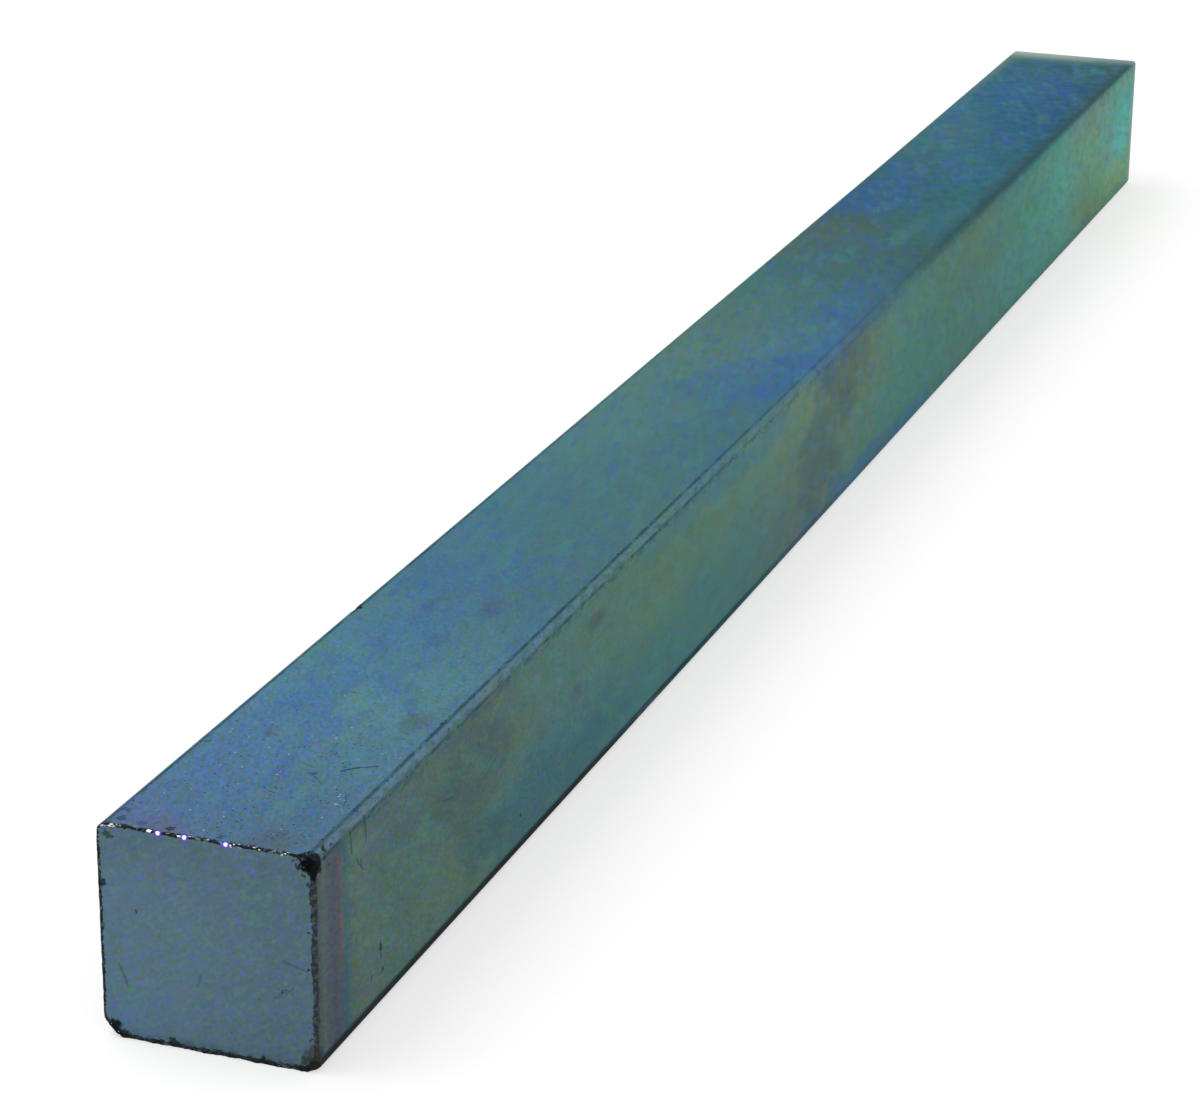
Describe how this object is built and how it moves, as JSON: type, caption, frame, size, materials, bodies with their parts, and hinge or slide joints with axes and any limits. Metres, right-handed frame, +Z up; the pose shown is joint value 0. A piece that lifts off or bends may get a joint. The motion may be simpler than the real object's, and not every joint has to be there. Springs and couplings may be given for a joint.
{
  "type": "parallel key",
  "caption": "Square parallel key cut from zinc-plated key steel: one long solid bar with rounded long corners, a chipped sawn end and a softened cropped end.",
  "frame": {"origin": "middle of the seat face, the face the key rests on", "axes": "+X along the key from the sawn end to the cropped end, +Z up from the seat face to the top face, so the right side face points along -Y"},
  "size_m": [0.3048, 0.019, 0.0191],
  "materials": {
    "zinc_plated_steel": "blue-passivated zinc plate on cold-drawn steel, satin, mottled blue, teal and olive, with fine pits near the sawn end"
  },
  "bodies": {
    "root": {"key_bar": "zinc_plated_steel"}
  },
  "joints": []
}
